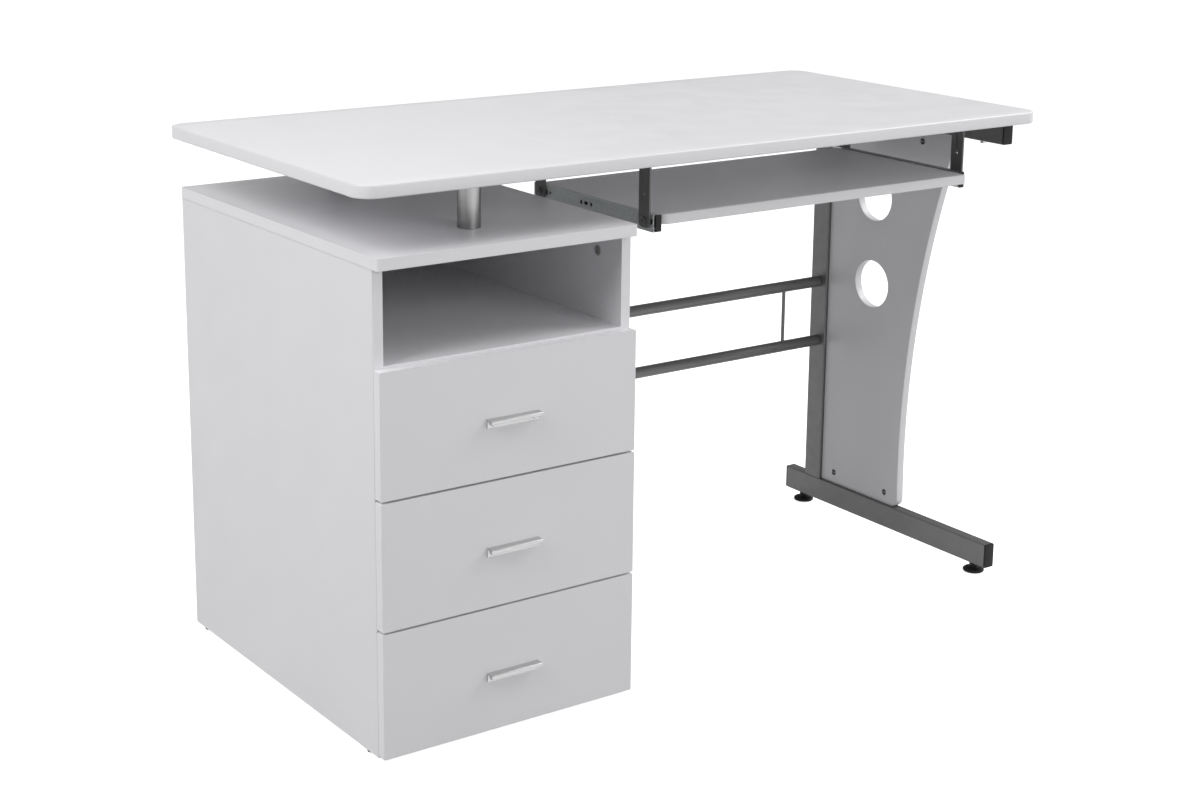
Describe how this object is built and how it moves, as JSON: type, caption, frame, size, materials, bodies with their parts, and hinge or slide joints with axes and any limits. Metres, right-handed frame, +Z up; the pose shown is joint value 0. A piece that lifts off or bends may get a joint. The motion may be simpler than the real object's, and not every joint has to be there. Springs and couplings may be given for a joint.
{
  "type": "computer desk with drawer pedestal and keyboard tray",
  "caption": "White desk: raised top on a drawer pedestal with an open cubby, a pull-out keyboard tray, and a steel leg frame with a pierced side panel.",
  "frame": {"origin": "centre of the bounding box's footprint, on the floor", "axes": "+X along the desk to the user's right, +Y from the user towards the back, +Z up; drawers and tray pull out along -Y"},
  "size_m": [1.2, 0.5924, 0.776],
  "materials": {
    "white_laminate": "white melamine on particle board with matching edge band, satin",
    "drawer_box_board": "white foil on particle board, matt",
    "white_hardboard": "thin white-faced hardboard, matt",
    "silver_grey_powder_coat": "fine silver-grey powder coat",
    "dark_coated_steel": "dark grey coated steel strap",
    "white_coated_steel": "white epoxy-coated folded steel",
    "galvanised_steel": "dull galvanised folded steel",
    "satin_steel_tube": "satin plated steel tube",
    "silver_handle": "satin silver",
    "zinc_fasteners": "zinc plated",
    "black_plastic": "moulded black plastic"
  },
  "bodies": {
    "frame": {"desk_top": "white_laminate", "standoff_front": "satin_steel_tube", "standoff_rear": "satin_steel_tube", "pedestal_left_side": "white_laminate", "pedestal_right_side": "white_laminate", "pedestal_top_plate": "white_laminate", "pedestal_back_panel": "white_hardboard", "cubby_shelf": "white_laminate", "pedestal_rails": "white_laminate", "cabinet_runners": "white_coated_steel", "pedestal_glides": "black_plastic", "leg_foot_bar": "silver_grey_powder_coat", "leg_post": "silver_grey_powder_coat", "leg_top_arm": "silver_grey_powder_coat", "leg_panel": "white_laminate", "tube_end_caps": "black_plastic", "crossbar_upper": "silver_grey_powder_coat", "crossbar_lower": "silver_grey_powder_coat", "crossbar_rods": "silver_grey_powder_coat", "tray_hangers_left": "dark_coated_steel", "tray_hangers_right": "dark_coated_steel", "tray_slide_left_outer": "galvanised_steel", "tray_slide_right_outer": "galvanised_steel", "cam_locks": "zinc_fasteners", "cross_dowels": "zinc_fasteners", "connector_bolts": "zinc_fasteners", "hanger_screws": "zinc_fasteners", "hanger_bolts": "dark_coated_steel"},
    "keyboard_tray_body": {"keyboard_tray": "white_laminate", "tray_slide_left_inner": "galvanised_steel", "tray_slide_right_inner": "galvanised_steel", "tray_stops": "black_plastic", "tray_screws": "zinc_fasteners"},
    "drawer_1": {"drawer_1_front": "white_laminate", "drawer_1_left_side": "drawer_box_board", "drawer_1_right_side": "drawer_box_board", "drawer_1_back": "drawer_box_board", "drawer_1_bottom": "white_hardboard", "drawer_1_handle": "silver_handle", "drawer_1_runners": "white_coated_steel", "drawer_1_screws": "zinc_fasteners"},
    "drawer_2": {"drawer_2_front": "white_laminate", "drawer_2_left_side": "drawer_box_board", "drawer_2_right_side": "drawer_box_board", "drawer_2_back": "drawer_box_board", "drawer_2_bottom": "white_hardboard", "drawer_2_handle": "silver_handle", "drawer_2_runners": "white_coated_steel", "drawer_2_screws": "zinc_fasteners"},
    "drawer_3": {"drawer_3_front": "white_laminate", "drawer_3_left_side": "drawer_box_board", "drawer_3_right_side": "drawer_box_board", "drawer_3_back": "drawer_box_board", "drawer_3_bottom": "white_hardboard", "drawer_3_handle": "silver_handle", "drawer_3_runners": "white_coated_steel", "drawer_3_screws": "zinc_fasteners"},
    "foot_front": {"levelling_foot_front": "black_plastic"},
    "foot_rear": {"levelling_foot_rear": "black_plastic"}
  },
  "joints": [
    {"name": "drawer_1_slide", "type": "slide", "parent": "frame", "child": "drawer_1", "axis": [0, -1, 0], "range_m": [0, 0.31]},
    {"name": "drawer_2_slide", "type": "slide", "parent": "frame", "child": "drawer_2", "axis": [0, -1, 0], "range_m": [0, 0.31]},
    {"name": "drawer_3_slide", "type": "slide", "parent": "frame", "child": "drawer_3", "axis": [0, -1, 0], "range_m": [0, 0.31]},
    {"name": "keyboard_tray_slide", "type": "slide", "parent": "frame", "child": "keyboard_tray_body", "axis": [0, -1, 0], "range_m": [0, 0.2]},
    {"name": "levelling_foot_front_turn", "type": "hinge", "parent": "frame", "child": "foot_front", "pos_m": [0.581, -0.21175, 0.008], "axis": [0, 0, 1], "continuous": true},
    {"name": "levelling_foot_rear_turn", "type": "hinge", "parent": "frame", "child": "foot_rear", "pos_m": [0.581, 0.21725, 0.008], "axis": [0, 0, 1], "continuous": true}
  ]
}
